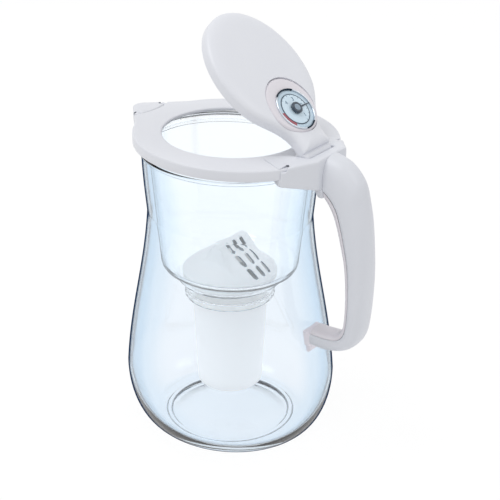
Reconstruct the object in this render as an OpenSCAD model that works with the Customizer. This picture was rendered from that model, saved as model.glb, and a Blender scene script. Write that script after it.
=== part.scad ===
// Water filter pitcher with a flip lid, a pouring flap, a use counter and a lift-out filter funnel.
// Origin at the centre of the foot, on the table. +Z up, spout towards -X, handle towards +X, mirrored about XZ.

/* [Jug] */
// Height of the jug to its rim
jug_h = 262; // [240:1:285]
// Half length of the jug at its widest, along the spout and handle
belly_a = 94.3; // [88:0.5:100]
// Height of the widest section
belly_z = 55; // [45:1:70]
// Half length at the waist
waist_a = 72.3; // [70:0.1:76]
// Height of the waist crease
waist_z = 202; // [190:1:212]
// Half length at the rim
rim_a = 76; // [74.5:0.5:79]
// Half length of the bottom where the wall starts to rise
floor_a = 66; // [60:0.5:70]
// Width of the oval over its length
oval = 0.92; // [0.9:0.01:0.94]
// Wall of the jug
jug_wall = 2.6; // [2:0.1:3]
// Thickness of the jug's floor
jug_floor = 4; // [3:0.1:5]
// Outer radius of the foot ring
foot_r = 58; // [54:0.5:60]
// Width of the foot ring
foot_w = 5; // [3:0.5:8]
// Height of the foot ring
foot_h = 1.5; // [1:0.1:3]
// Height of the lip bead below the rim
bead_drop = 4; // [3:0.5:6]
// How far the lip bead stands out
bead_out = 1.6; // [1:0.1:2.2]

/* [Funnel] */
// Gap between the jug's wall and the funnel at the rim
funnel_gap = 3; // [2:0.1:4]
// Wall of the funnel
funnel_wall = 1.8; // [1.5:0.1:2.2]
// Half length of the funnel at its floor
funnel_floor_a = 60; // [56:0.5:64]
// Height of the funnel's floor edge
funnel_floor_z = 153; // [146:1:165]
// Drop of the floor from its edge to the cartridge seat
funnel_dish = 13; // [9:0.5:15]
// Thickness of the flange that hangs on the jug's rim
flange_t = 2; // [1.5:0.1:3]
// Half width of the pouring gap in the flange
pour_half = 19; // [14:0.5:22]
// Radius of the bore that takes the cartridge
seat_r = 35.2; // [33.5:0.1:36.5]
// Length of the threaded neck below the seat
neck_len = 15; // [12:0.5:18]
// Height of the retaining ring
ring_h = 6; // [4:0.5:8]
// Radial thickness of the retaining ring
ring_t = 2; // [1.5:0.1:3]

/* [Cartridge] */
// Radius of the cartridge at its top
cart_top_r = 33.6; // [31:0.1:34.5]
// Radius of the cartridge at its bottom
cart_bottom_r = 28.6; // [26:0.1:31]
// Length of the cartridge below its flange
cart_len = 105; // [90:1:118]
// Wall of the cartridge
cart_wall = 1.5; // [1.2:0.1:2]
// Radius of the cartridge's flange
cart_flange_r = 41; // [39.5:0.1:42]
// Height of the cap above its flange
cap_h = 33; // [28:0.5:38]
// Half width of the raised slotted ridge on the cap
ridge_half = 22; // [20:0.5:25]
// Length of one slot in the ridge
slot_l = 6.5; // [5:0.5:7]
// Width of one slot in the ridge
slot_w = 4; // [2.5:0.1:4.4]

/* [Cover] */
// Half length of the cover ring
cover_a = 88; // [86:0.5:91]
// Half width of the cover ring
cover_b = 80; // [78:0.5:83]
// How far the cover's middle lies towards the handle
cover_shift = 6; // [4:0.5:8]
// Height of the cover ring
cover_h = 11; // [9.5:0.5:13]
// Plate and wall thickness of the cover
cover_t = 2.5; // [2:0.1:3]
// Half length of the filling opening
mouth_a = 58.5; // [54:0.5:60]
// Half width of the filling opening
mouth_b = 56; // [52:0.5:57]
// Reach of the spout's sharp corner from the jug's middle
spout_reach = 108; // [104:0.5:112]
// Radius of the spout's tip
spout_r = 10; // [7:0.5:12]
// Where the pouring flap turns, from the jug's middle
flap_x = 88; // [87:0.5:90]
// How far the flap's seam bows towards the filling opening
flap_bow = 4.5; // [3.5:0.5:6]
// Gap round the flap
flap_gap = 0.6; // [0.6:0.1:0.8]

/* [Lid] */
// Length of the lid from its hinge to its tip
lid_len = 132.5; // [128:0.5:138]
// Half width of the lid
lid_half = 48; // [47:0.5:51]
// Half length of the lid's round end
lid_round = 55.5; // [53:0.5:58]
// Half width of the lid's neck at the hinge
neck_half = 17; // [15:0.5:19]
// Height of the lid's dome
lid_h = 12; // [11:0.5:15]
// Wall of the lid
lid_wall = 2.4; // [1.8:0.1:2.8]
// Where the hinge lies, from the jug's middle
hinge_x = 83.5; // [82:0.5:85]
// Radius of the hinge pin
pin_r = 2; // [1.5:0.1:2.5]
// Radius of the lid's hinge barrel
barrel_r = 7; // [6:0.5:8]
// How far the lid stands open
lid_open = 43; // [0:1:60]

/* [Counter] */
// Distance of the counter from the hinge
dial_t = 36.3; // [36:0.1:40]
// Radius of the counter's housing
housing_r = 25; // [24:0.5:26]
// How far the housing's middle lies beyond the counter, away from the hinge
housing_shift = 4.5; // [3:0.5:4.5]
// Radius of the counter's face
face_r = 17.3; // [16.5:0.1:17.5]
// Width of the bright ring round the face
bezel_w = 1.3; // [1:0.1:1.6]
// Radius of the counter's knob
hub_r = 5; // [4:0.1:6]
// Radius of the ratchet wheel
wheel_r = 9; // [8:0.5:10]
// Number of ratchet teeth
wheel_teeth = 24; // [20:1:30]

/* [Handle] */
// Where the hood ends and the handle begins, from the jug's middle
hood_end = 102; // [100.5:0.5:103]
// Half width of the handle
grip_half = 12.5; // [11:0.5:14]
// Wall of the handle's shell
grip_wall = 2.4; // [2:0.1:3]
// Reach of the handle's centre line from the jug's middle
grip_x = 128.7; // [126:0.1:132]
// Height of the handle's foot
grip_foot_z = 114.5; // [108:0.5:122]
// Gap between the foot pad and the jug's wall
foot_gap = 0.6; // [0.4:0.1:1]

/* [Hidden] */
seg = 72;
fit = 0.05;
gap = 0.3;
eps = 0.01;
facets = 48;

// Heights that several pieces share
inner_floor_z = foot_h + jug_floor;
flange_top = jug_h + flange_t;
cover_top = jug_h + cover_h;
plate_z = cover_top - cover_t;
cover_z = flange_top + 0.1;
seat_z = funnel_floor_z - funnel_dish;
seal_t = 1;
flange_z = seat_z + funnel_wall + seal_t;
rim_t = 2.2;
cap_z = flange_z + rim_t;
cart_bottom_z = flange_z - cart_len;
lid_z = cover_top + 0.4;
hinge_z = cover_top;

// Plan sizes that several pieces share
funnel_a = rim_a - jug_wall - funnel_gap;
funnel_b = oval * rim_a - jug_wall - funnel_gap;
funnel_floor_b = funnel_floor_a - 3;
neck_r = seat_r + funnel_wall;
slot_half = neck_half + 0.5;
lid_mid = 0.56 * lid_len;
dial_x = hinge_x - dial_t;
shaft_r = 1.8;

// Points of an oval, anticlockwise from above
function oval_pts(a, b, cx = 0, n = facets) =
    [for (i = [0:n - 1]) [cx + a * cos(360 * i / n), b * sin(360 * i / n)]];

function at_z(pts, z) = [for (p = pts) [p.x, p.y, z]];

// Side triangles between one ring of n points and the next
function band(i, k, n) = [for (j = [0:n - 1]) each
    let (a = i * n + j, b = i * n + (j + 1) % n, c = k * n + j, d = k * n + (j + 1) % n)
    [[a, c, d], [a, d, b]]];

// A solid through a stack of rings, closed by its first and last ring
module skin(rings) {
    n = len(rings[0]);
    ends = [[for (j = [0:n - 1]) j], [for (j = [n - 1:-1:0]) (len(rings) - 1) * n + j]];
    ring_solid(rings, ends);
}

// The same through C-shaped rings, whose second half runs back beside the first
module strip_skin(rings) {
    n = len(rings[0]);
    last = (len(rings) - 1) * n;
    ends = [for (k = [0:n / 2 - 2]) each let (a = k, b = k + 1, c = n - 2 - k, d = n - 1 - k)
        [[a, b, c], [a, c, d], [last + c, last + b, last + a], [last + d, last + c, last + a]]];
    ring_solid(rings, ends);
}

module ring_solid(rings, ends)
    polyhedron([for (r = rings) each r],
        concat(ends, [for (i = [0:len(rings) - 2]) each band(i, i + 1, len(rings[0]))]));

// A hollow ring of rings, whose last ring joins the first
module loop_skin(rings) {
    n = len(rings[0]);
    m = len(rings);
    polyhedron([for (r = rings) each r], [for (i = [0:m - 1]) each band(i, (i + 1) % m, n)]);
}

module tube(r_out, r_in, h) {
    difference() {
        cylinder(r = r_out, h = h, $fn = seg);
        translate([0, 0, -eps]) cylinder(r = r_in, h = h + 2 * eps, $fn = seg);
    }
}

// A wall that follows an oval, between two heights
module oval_wall(a, b, t, z0, z1, cx = 0) {
    translate([0, 0, z0]) linear_extrude(z1 - z0) difference() {
        polygon(oval_pts(a, b, cx));
        polygon(oval_pts(a - t, b - t, cx));
    }
}

module bar_y(r, half, x, z) {
    translate([x, half, z]) rotate([90, 0, 0]) cylinder(r = r, h = 2 * half, $fn = seg);
}

// ---- Jug ----

// Half length of the jug's oval at height z, for a floor that starts at height base
function jug_a(z, base = foot_h) =
    z < belly_z ? floor_a + (belly_a - floor_a) * sqrt(1 - pow((belly_z - z) / (belly_z - base), 2))
    : z < waist_z ? let (u = (z - belly_z) / (waist_z - belly_z))
        belly_a - (belly_a - waist_a) * (u / 2 + (1 - cos(180 * u)) / 4)
    : waist_a + (rim_a - waist_a) * sin(90 * (z - waist_z) / (jug_h - waist_z));

function jug_ring(z, inset, base, out = 0) =
    let (a = jug_a(z, base) + out) at_z(oval_pts(a - inset, oval * a - inset), z);

bead_top = jug_h - bead_drop;
low_steps = [0, 0.015, 0.06, 0.14, 0.27, 0.45, 0.7, 1];
side_steps = [0.15, 0.3, 0.45, 0.6, 0.75, 0.88, 1];
bead_h = 3;
bead_steps = [[-1.2, 0], [-1, 1], [-0.2, 1], [0, 0]];

module jug() color([0.86, 0.93, 0.97, 0.35]) {
    low = [for (u = low_steps) foot_h + u * (belly_z - foot_h)];
    high = [for (u = side_steps) belly_z + u * (waist_z - belly_z)];
    neck = [for (u = [0.2, 0.5]) waist_z + u * (jug_h - waist_z)];
    inner_low = [for (u = low_steps) inner_floor_z + u * (belly_z - inner_floor_z)];
    inner_up = concat(inner_low, high, neck, [jug_h]);
    skin(concat(
        [for (z = concat(low, high, neck)) jug_ring(z, 0, foot_h)],
        [for (s = bead_steps) jug_ring(bead_top + s[0] * bead_h, 0, foot_h, s[1] * bead_out)],
        [jug_ring(jug_h, 0, foot_h)],
        [for (i = [len(inner_up) - 1:-1:0]) jug_ring(inner_up[i], jug_wall, inner_floor_z)]));
    tube(foot_r, foot_r - foot_w, foot_h + 1);
}

// ---- Funnel ----

// Radius of the flat well round the seat that takes the cartridge's flange
well_r = cart_flange_r + 2;

// Rings of the funnel's wall on its outside, or inset by its thickness and raised by it at the floor
function funnel_rings(inset, rise, top_z) = let (
    a = funnel_floor_a - inset, b = funnel_floor_b - inset, z = funnel_floor_z + rise)
    [at_z(oval_pts(well_r, well_r), seat_z + rise),
     at_z(oval_pts(a - 7, b - 7), z - 2),
     at_z(oval_pts(a - 1.6, b - 1.6), z + 1),
     at_z(oval_pts(a, b), z + 5),
     at_z(oval_pts(funnel_a - inset, funnel_b - inset), top_z)];

module funnel() color([0.9, 0.96, 0.99, 0.35]) {
    inner = funnel_rings(funnel_wall, funnel_wall, flange_top);
    loop_skin(concat(funnel_rings(0, 0, flange_top), [for (i = [4:-1:0]) inner[i]]));
    difference() {
        oval_wall(rim_a + 0.8, oval * rim_a + 0.8, jug_wall + funnel_gap + 0.8 + funnel_wall / 2, jug_h, flange_top);
        translate([-rim_a - 10, -pour_half, jug_h - eps])
            cube([rim_a + 10 - 0.93 * funnel_a, 2 * pour_half, flange_t + 2 * eps]);
    }
    rotate_extrude($fn = seg) polygon([[seat_r, seat_z - neck_len], [neck_r, seat_z - neck_len],
        [neck_r, seat_z], [well_r + 1, seat_z + 0.2], [well_r + 1, seat_z + funnel_wall + 0.2],
        [neck_r + 4, seat_z + funnel_wall], [seat_r, seat_z + funnel_wall]]);
}

// Screwed on the neck below the funnel's floor
module retaining_ring() color([0.85, 0.9, 0.93]) translate([0, 0, seat_z - neck_len])
    tube(neck_r + fit + ring_t, neck_r + fit, ring_h);

// ---- Cartridge ----

function cup_r(z) = cart_bottom_r + (cart_top_r - cart_bottom_r) * (z - cart_bottom_z) / cart_len;

screen_t = 1;
cup_floor = 2;

module cartridge_cup() color([0.93, 0.94, 0.95]) difference() {
    rotate_extrude($fn = seg) polygon([
        [0, cart_bottom_z], [cart_bottom_r - 2, cart_bottom_z], [cart_bottom_r, cart_bottom_z + 2],
        [cart_top_r, flange_z], [cart_flange_r, flange_z], [cart_flange_r, cap_z],
        [cup_r(cap_z) - cart_wall, cap_z], [cup_r(cart_bottom_z + cup_floor) - cart_wall, cart_bottom_z + cup_floor],
        [0, cart_bottom_z + cup_floor]]);
    for (k = [0:7]) rotate([0, 0, 45 * k])
        translate([0.35 * cart_bottom_r, -1.5, cart_bottom_z - 1]) cube([0.4 * cart_bottom_r, 3, cup_floor + 2]);
}

// Solid between two heights that fills the cup with a little room
module cup_fill(z0, z1) {
    inset = cart_wall + 0.25;
    translate([0, 0, z0]) cylinder(r1 = cup_r(z0) - inset, r2 = cup_r(z1) - inset, h = z1 - z0, $fn = seg);
}

media_z = cart_bottom_z + cup_floor + screen_t + 0.1;
media_top = flange_z - 6;

module filter_media() color([0.35, 0.33, 0.32]) cup_fill(media_z, media_top);

module media_screens() color([0.85, 0.86, 0.86]) {
    cup_fill(media_z - screen_t - 0.05, media_z - 0.05);
    cup_fill(media_top + 0.05, media_top + 0.05 + screen_t);
}

module cartridge_seal() color([0.55, 0.6, 0.65]) translate([0, 0, seat_z + funnel_wall])
    tube(cart_flange_r - 2, seat_r + 0.5, seal_t);

cap_skirt = 3.5;
crown_r = 14;
crown_z = cap_z + 0.72 * cap_h;
ridge_r = 4;
ridge_front = 24;
ridge_back = 16;

// Cone and ridge of the cap, drawn smaller by an inset
module cap_shape(inset) {
    hull() {
        translate([0, 0, cap_z - (inset > 0 ? 1 : 0)])
            cylinder(r = cart_flange_r - inset, h = cap_skirt - inset, $fn = 48);
        translate([0, 0, crown_z - inset]) cylinder(r = crown_r - inset, h = 1, $fn = 32);
    }
    hull() {
        translate([-ridge_back + inset, -ridge_half - 2 + inset, cap_z + 1])
            cube([ridge_front + ridge_back - 2 * inset, 2 * ridge_half + 4 - 2 * inset, cap_skirt]);
        for (y = [-1, 1]) translate([0, y * (ridge_half - ridge_r), cap_z + cap_h - ridge_r])
            sphere(r = ridge_r - inset / 2, $fn = 20);
    }
}

module cartridge_cap() color([0.83, 0.86, 0.88]) difference() {
    cap_shape(0);
    cap_shape(1.6);
    for (row = [0:2], col = [-1:1])
        translate([0, col * 0.41 * ridge_half - slot_w / 2, cap_z + cap_skirt + 3 + row * 0.26 * cap_h])
            cube([ridge_front + 12, slot_w, slot_l]);
}

// ---- Cover ring and its spout ----

// The spout's corner of 90 degrees with a round tip, with its sharp corner at x = -reach
module spout_plan(reach, r) {
    c = r * sqrt(2) - reach;
    translate([c, 0]) circle(r = r, $fn = seg);
    polygon([[-0.3 * reach, -0.7 * reach], [-0.3 * reach, 0.7 * reach],
        [c - r * cos(45), r * sin(45)], [c - r * cos(45), -r * sin(45)]]);
}

module cover_plan(inset) {
    polygon(oval_pts(cover_a - inset, cover_b - inset, cover_shift));
    intersection() {
        spout_plan(spout_reach - inset * sqrt(2), spout_r - inset / 2);
        translate([-2 * spout_reach, -cover_b / 2]) square([2 * spout_reach - 40, cover_b]);
    }
}

seam_back = 2;
seam_half = spout_reach - flap_x + seam_back;
seam_r = (seam_half * seam_half + flap_bow * flap_bow) / (2 * flap_bow);
flap_z = cover_top - 2;
lug_r = 2;
lug_w = 3;
lug_in = spout_reach - flap_x - 2 - lug_w;
stub_r = 1;
locator_t = 2;

// Everything on the spout's side of the bowed seam
module beyond_seam(shrink) {
    middle = flap_bow + seam_back - flap_x - seam_r;
    translate([middle, 0]) circle(r = seam_r - shrink, $fn = seg);
    translate([middle - 2 * cover_b, -cover_b]) square([2 * cover_b, 2 * cover_b]);
}

// Knuckle of the cover that carries one end of the flap
module flap_lug() {
    bar_y(lug_r, lug_w / 2, -flap_x, flap_z);
    translate([-flap_x, -lug_w / 2, flap_z - lug_r]) cube([flap_bow + seam_back, lug_w, 2 * lug_r]);
}

module cover_ring() color([0.9, 0.91, 0.93]) difference() {
    union() {
        difference() {
            translate([0, 0, jug_h]) linear_extrude(cover_h) cover_plan(0);
            translate([0, 0, jug_h - eps]) linear_extrude(cover_h - cover_t + eps) cover_plan(cover_t);
            translate([0, 0, plate_z - 1]) linear_extrude(cover_t + 2) polygon(oval_pts(mouth_a, mouth_b, 2));
            translate([0, 0, jug_h + cover_t]) linear_extrude(cover_h) intersection() {
                beyond_seam(0);
                cover_plan(-1);
            }
        }
        oval_wall(mouth_a + 2, mouth_b + 2, 2, plate_z - 0.5, cover_top, 2);
        difference() {
            oval_wall(rim_a - 0.5, oval * rim_a - 0.5, locator_t, flange_top + 0.1, plate_z + eps);
            translate([-2 * rim_a, -pour_half, jug_h]) cube([1.5 * rim_a, 2 * pour_half, cover_h]);
        }
        translate([0, 0, jug_h]) linear_extrude(cover_t) difference() {
            cover_plan(eps);
            translate([-rim_a, -cover_b]) square([3 * rim_a, 2 * cover_b]);
            polygon(oval_pts(rim_a + 1.2, oval * rim_a + 1.2));
        }
        for (s = [-1, 1]) translate([0, s * (lug_in + lug_w / 2), 0]) flap_lug();
    }
    translate([-rim_a, -2 * cover_b, jug_h - 1]) cube([3 * rim_a, 4 * cover_b, cover_z + 1 - jug_h]);
    for (s = [-1, 1]) translate([0, s * (lug_in + lug_w / 2), 0]) bar_y(stub_r + fit, lug_w, -flap_x, flap_z);
    translate([hinge_x - barrel_r - 1.4, -slot_half, jug_h - 1]) cube([40, 2 * slot_half, cover_h + 2]);
    bar_y(pin_r + fit, 40, hinge_x, hinge_z);
}

module spout_flap() color([0.9, 0.91, 0.93]) {
    skirt_z = jug_h + cover_t + gap;
    notch_y = lug_in - flap_gap;
    difference() {
        translate([0, 0, plate_z]) linear_extrude(cover_t) intersection() {
            cover_plan(0);
            beyond_seam(flap_gap);
        }
        for (s = [0, 1]) mirror([0, s, 0]) translate([-flap_x - lug_r - flap_gap, notch_y, plate_z - 1])
            cube([20, cover_b, cover_t + 2]);
    }
    translate([0, 0, skirt_z]) linear_extrude(plate_z - skirt_z + eps) difference() {
        intersection() {
            cover_plan(0);
            translate([-2 * cover_b - flap_x, -cover_b]) square([2 * cover_b - lug_r - 1.5, 2 * cover_b]);
        }
        cover_plan(1.8);
    }
    for (s = [-1, 1]) translate([0, s * (lug_in + lug_w / 2 - 0.7), 0]) bar_y(stub_r, lug_w / 2 + 0.3, -flap_x, flap_z);
}

// ---- Hood and handle ----

head_x = hood_end - 17;
screw_y = 7;
screw_z = jug_h - 2.5;
screw_r = 1.6;
screw_head_r = 2.8;
screw_tip = hood_end + 10;

// Outline of the lid seen square on, from its hinge towards -X, scaled about its middle
function lid_pts(s) = let (
    round = [for (i = [0:28]) let (v = 118 - 236 * i / 28)
        [lid_round - lid_len - lid_round * cos(v), lid_half * sin(v)]],
    shoulder = [for (u = [0.3, 0.65, 1]) (1 - u) * round[28] + u * [-14, -neck_half]],
    half = concat(shoulder, [[-2, -neck_half]]),
    all = concat(round, half, [for (i = [3:-1:0]) [half[i].x, -half[i].y]]))
    [for (p = all) [s * (p.x + lid_mid) - lid_mid, s * p.y]];

// Pair of upright posts, mirrored about the handle
module posts(x, y, r, z0, z1)
    for (s = [-1, 1]) translate([x, s * y, z0]) cylinder(r = r, h = z1 - z0, $fn = 24);

root_y = grip_half - 2.5;

module hood_blank() {
    hull() {
        posts(hood_end - 42, cover_b - 50, 3, cover_top - 5, cover_top + 0.6);
        posts(hood_end - 21, cover_b - 42, 4, cover_top - 14.5, cover_top + 0.5);
        posts(hood_end - 10, neck_half + 5, 4, cover_top - 17, cover_top + 4);
        posts(hood_end + 2, root_y, 4, cover_top - 21, cover_top + 5.5);
    }
    hull() {
        posts(hood_end - 6, root_y - 1, 4, cover_top - 24, cover_top - 3);
        posts(hood_end + 2, root_y, 4, cover_top - 32.5, cover_top - 3);
    }
}

module handle_hood() color([0.86, 0.87, 0.89]) difference() {
    hood_blank();
    translate([0, 0, cover_z]) linear_extrude(cover_top - cover_z) polygon(oval_pts(cover_a, cover_b, cover_shift));
    translate([0, 0, jug_h - 40]) linear_extrude(cover_z - jug_h + 40)
        polygon(oval_pts(rim_a + bead_out + 2, oval * rim_a + bead_out + 2));
    translate([hinge_x, 0, cover_top - eps]) linear_extrude(40) polygon(lid_pts(1.02));
    translate([hinge_x - 20, -slot_half, hinge_z - barrel_r - 1]) cube([20 + barrel_r + 1.4, 2 * slot_half, 40]);
    translate([hood_end - 0.1, -cover_b, jug_h - cover_b]) cube(2 * cover_b);
    bar_y(pin_r + fit, cover_b, hinge_x, hinge_z);
    for (s = [-1, 1]) translate([0, s * screw_y, screw_z]) rotate([0, 90, 0]) {
        cylinder(r = screw_r + 0.2, h = 2 * hood_end, $fn = 24);
        cylinder(r = screw_head_r + 0.3, h = head_x, $fn = 24);
    }
}

module lid_hinge_pin() color("silver") bar_y(pin_r, slot_half + 9, hinge_x, hinge_z);

pad_t = 3;
jug_face = jug_a(grip_foot_z - 14.5) + foot_gap;
foot_x = jug_face + pad_t;

// Outer and inner edge of the handle in side view and its half width, from the hood down to the foot
grip_stations = [
    [[hood_end, cover_top + 5.5], [hood_end, cover_top - 33], 1],
    [[hood_end + 15, cover_top + 1], [hood_end + 4, cover_top - 39], 1],
    [[grip_x + 1, cover_top - 12], [hood_end + 7.2, cover_top - 45.5], 1],
    [[grip_x + 6.5, cover_top - 29], [hood_end + 10.6, cover_top - 55], 0.8],
    [[grip_x + 10, cover_top - 46], [hood_end + 14, cover_top - 67], 0.5],
    [[grip_x + 13, cover_top - 76], [grip_x - 8.3, cover_top - 85], 0],
    [[grip_x + 13.6, grip_foot_z + 60], [grip_x - 6.3, grip_foot_z + 52], -0.3],
    [[grip_x + 12.2, grip_foot_z + 32], [grip_x - 6, grip_foot_z + 30], -0.5],
    [[grip_x + 8.5, grip_foot_z + 12], [grip_x - 8.2, grip_foot_z + 16], -0.8],
    [[grip_x - 2, grip_foot_z - 1], [grip_x - 14.5, grip_foot_z + 9.5], -1.2],
    [[grip_x - 20, grip_foot_z - 8], [grip_x - 27, grip_foot_z + 8.2], -1.8],
    [[foot_x, grip_foot_z - 8.5], [foot_x, grip_foot_z + 8], -2]];

// Point at share u between the second and third of four neighbours on a smooth curve
function between(a, b, c, d, u) =
    (2 * b + (c - a) * u + (2 * a - 5 * b + 4 * c - d) * u * u + (3 * b - a - 3 * c + d) * u * u * u) / 2;

grip_last = len(grip_stations) - 1;

// Edge k of the handle, followed in half steps
function grip_edge(k) = let (e = [for (g = grip_stations) g[k]], n = grip_last)
    concat([for (i = [0:n - 1], u = [0, 0.5]) between(e[max(i - 1, 0)], e[i], e[i + 1], e[min(i + 2, n)], u)], [e[n]]);

grip_out = grip_edge(0);
grip_in = grip_edge(1);
grip_wide = grip_edge(2);

function grip_depth(i) = norm(grip_out[i] - grip_in[i]) / 2;

// Point of a rounded section, u outwards and v sideways
function section(h, w, v) = let (c = cos(v), s = sin(v))
    [h * sign(c) * pow(abs(c), 0.77), w * sign(s) * pow(abs(s), 0.77)];

// Angle at which a section of half depth h lies u below its middle
function lip_angle(u, h) = acos(-pow(u / h, 1 / 0.77));

part_gap = 0.25;

// Point of station i that lies p[0] outwards and p[1] sideways of its middle
function on_grip(i, p) = let (mid = (grip_out[i] + grip_in[i]) / 2, n = (grip_out[i] - grip_in[i]) / (2 * grip_depth(i)))
    [mid[0] + n[0] * p[0], p[1], mid[1] + n[1] * p[0]];

function arc_pts(h, w, from, to, n) = [for (k = [0:n]) section(h, w, from + (to - from) * k / n)];

function shell_ring(i) = let (h = grip_depth(i), w = grip_half + grip_wide[i], t = grip_wall,
    outer = lip_angle(h / 2, h), inner = lip_angle(h / 2, h - t),
    out = arc_pts(h, w, outer, -outer, 16), in = arc_pts(h - t, w - t, -inner, inner, 16))
    [for (p = concat(out, in)) on_grip(i, p)];

function inner_ring(i) = let (h = grip_depth(i), w = grip_half + grip_wide[i], t = grip_wall,
    outer = lip_angle(h / 2 + part_gap, h), inner = lip_angle(h / 2 + part_gap, h - t),
    out = arc_pts(h, w, 360 - outer, outer, 10), in = arc_pts(h - t, w - t, inner, 360 - inner, 10))
    [for (p = concat(out, in)) on_grip(i, p)];

module handle_shell() color([0.86, 0.87, 0.89]) difference() {
    union() {
        strip_skin([for (i = [0:2 * grip_last]) shell_ring(i)]);
        translate([hood_end, grip_wall / 2 - grip_half, screw_z - 8.5]) cube([3, 2 * grip_half - grip_wall, 14]);
        for (s = [-1, 1]) translate([hood_end, s * screw_y, screw_z]) rotate([0, 90, 0])
            cylinder(r = screw_r + 2, h = screw_tip + 2 - hood_end, $fn = 24);
    }
    for (s = [-1, 1]) translate([hood_end - 1, s * screw_y, screw_z]) rotate([0, 90, 0])
        cylinder(r = screw_r + fit, h = screw_tip + 0.5 - hood_end + 1, $fn = 24);
}

module handle_inner_cover() color([0.9, 0.91, 0.93])
    strip_skin([for (i = [0:2 * grip_last]) inner_ring(i)]);

module handle_screws() color("silver") for (s = [-1, 1])
    translate([head_x - 2.2, s * screw_y, screw_z]) rotate([0, 90, 0]) {
        cylinder(r = screw_head_r, h = 2.2, $fn = 24);
        cylinder(r = screw_r, h = screw_tip - head_x + 2.2, $fn = 24);
    }

// Saddle that follows the jug's wall, with a nib below the handle and a plug inside the shell
module handle_foot_pad() color([0.75, 0.77, 0.8]) {
    low = grip_foot_z - 8;
    half = grip_half - 2.5;
    difference() {
        union() {
            translate([jug_face - 6, -half, low]) cube([pad_t + 6 - 0.1, 2 * half, 16]);
            translate([0, half - 1.5, 0]) rotate([90, 0, 0]) linear_extrude(2 * half - 3) polygon([[jug_face - 6, low + 1],
                [jug_face - 6, low - 6.5], [foot_x - 1, low - 6.5], [foot_x - 0.1, low - 5], [foot_x - 0.1, low + 1]]);
        }
        skin([for (z = [low - 12, low - 4, low + 6, low + 16, low + 24]) jug_ring(z, 0, foot_h, foot_gap)]);
    }
    translate([foot_x - 0.2, -6.4, grip_foot_z - 4.1]) cube([8, 12.8, 7.6]);
}

// ---- Lid ----

module lid_pose() translate([hinge_x, 0, hinge_z]) rotate([0, lid_open, 0]) children();

lid_gap = lid_z - hinge_z;

function lid_ring(s, h) = at_z(lid_pts(s), lid_gap + h);

module lid_shell() color([0.92, 0.93, 0.94]) lid_pose() difference() {
    union() {
        skin([lid_ring(0.06, lid_h - lid_wall), lid_ring(0.58, 0.97 * lid_h - lid_wall),
            lid_ring(0.8, 0.91 * lid_h - lid_wall), lid_ring(0.9, 0.8 * lid_h - lid_wall),
            lid_ring(0.945, 0.54 * lid_h), lid_ring(0.95, 0), lid_ring(1, 0), lid_ring(1, 0.56 * lid_h),
            lid_ring(0.985, 0.71 * lid_h), lid_ring(0.93, 0.84 * lid_h), lid_ring(0.82, 0.93 * lid_h),
            lid_ring(0.58, 0.98 * lid_h), lid_ring(0.06, lid_h)]);
        bar_y(barrel_r, neck_half - 0.1, 0, 0);
        translate([-barrel_r - 4, 0.1 - neck_half, lid_gap]) cube([barrel_r + 4, 2 * neck_half - 0.2, barrel_r - lid_gap - 1.5]);
    }
    bar_y(pin_r + 0.08, 60, 0, 0);
    translate([-dial_t - housing_shift, 0, lid_gap - 1]) cylinder(r = housing_r + 0.2, h = lid_h + 4, $fn = seg);
}

module lid_liner() color([0.93, 0.94, 0.95]) lid_pose() difference() {
    translate([0, 0, lid_gap + 0.1]) linear_extrude(1.8) polygon(lid_pts(0.945));
    translate([-barrel_r - 5, -60, -1]) cube([60, 120, 10]);
}

// ---- Counter ----

module dial_pose() lid_pose() translate([-dial_t, 0, lid_gap]) children();

chamber_r = wheel_r + 5.2;
face_z = lid_h - 1.4;
face_top = face_z + 1;
step_r = 0.76 * face_r;
shaft_top = lid_h + 1.6;

module counter_housing() color([0.92, 0.93, 0.94]) dial_pose() difference() {
    translate([-housing_shift, 0, 0]) rotate_extrude($fn = seg)
        polygon([[0, 2.1], [housing_r, 2.1], [housing_r, lid_h - 2.2], [housing_r - 1.4, lid_h - 0.4], [0, lid_h - 0.4]]);
    translate([0, 0, face_z]) cylinder(r = face_r + 0.1, h = 5, $fn = seg);
    translate([0, 0, 3.8]) cylinder(r = chamber_r, h = 20, $fn = seg);
    translate([0, 0, -1]) cylinder(r = shaft_r + fit, h = 20, $fn = 48);
    translate([-pawl_x, 0, 3]) cylinder(r = pawl_pin_r, h = 2, $fn = 24);
}

module counter_bezel() color("silver") dial_pose() translate([0, 0, lid_h - 0.4]) difference() {
    cylinder(r1 = face_r + bezel_w, r2 = face_r + bezel_w - 0.5, h = 1.4, $fn = seg);
    translate([0, 0, -eps]) cylinder(r1 = face_r, r2 = face_r + 0.5, h = 3, $fn = seg);
}

module counter_face() color([0.78, 0.87, 0.93]) dial_pose() translate([0, 0, face_z]) difference() {
    union() {
        cylinder(r = face_r, h = 1, $fn = seg);
        cylinder(r = step_r, h = 1.4, $fn = seg);
    }
    translate([0, 0, -1]) cylinder(r = shaft_r + 0.2, h = 5, $fn = 48);
}

// Inlay that marks the last part of the cartridge's life
module counter_red_sector() color([0.7, 0.25, 0.3]) dial_pose() translate([0, 0, face_top])
    linear_extrude(0.3) difference() {
        intersection() {
            circle(r = face_r - 0.3, $fn = seg);
            polygon([[0, 0], [-4, -40], [40, -34]]);
        }
        circle(r = step_r + 0.3, $fn = seg);
    }

pointer_z = face_z + 1.7;

module counter_pointer() color([0.15, 0.2, 0.3]) dial_pose() translate([0, 0, pointer_z]) linear_extrude(0.5)
    difference() {
        union() {
            circle(r = 0.9 * hub_r, $fn = 48);
            polygon([[1.2, 0], [0.3, face_r - 0.5], [-0.3, face_r - 0.5], [-1.2, 0]]);
        }
        circle(r = shaft_r, $fn = 48);
    }

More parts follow.
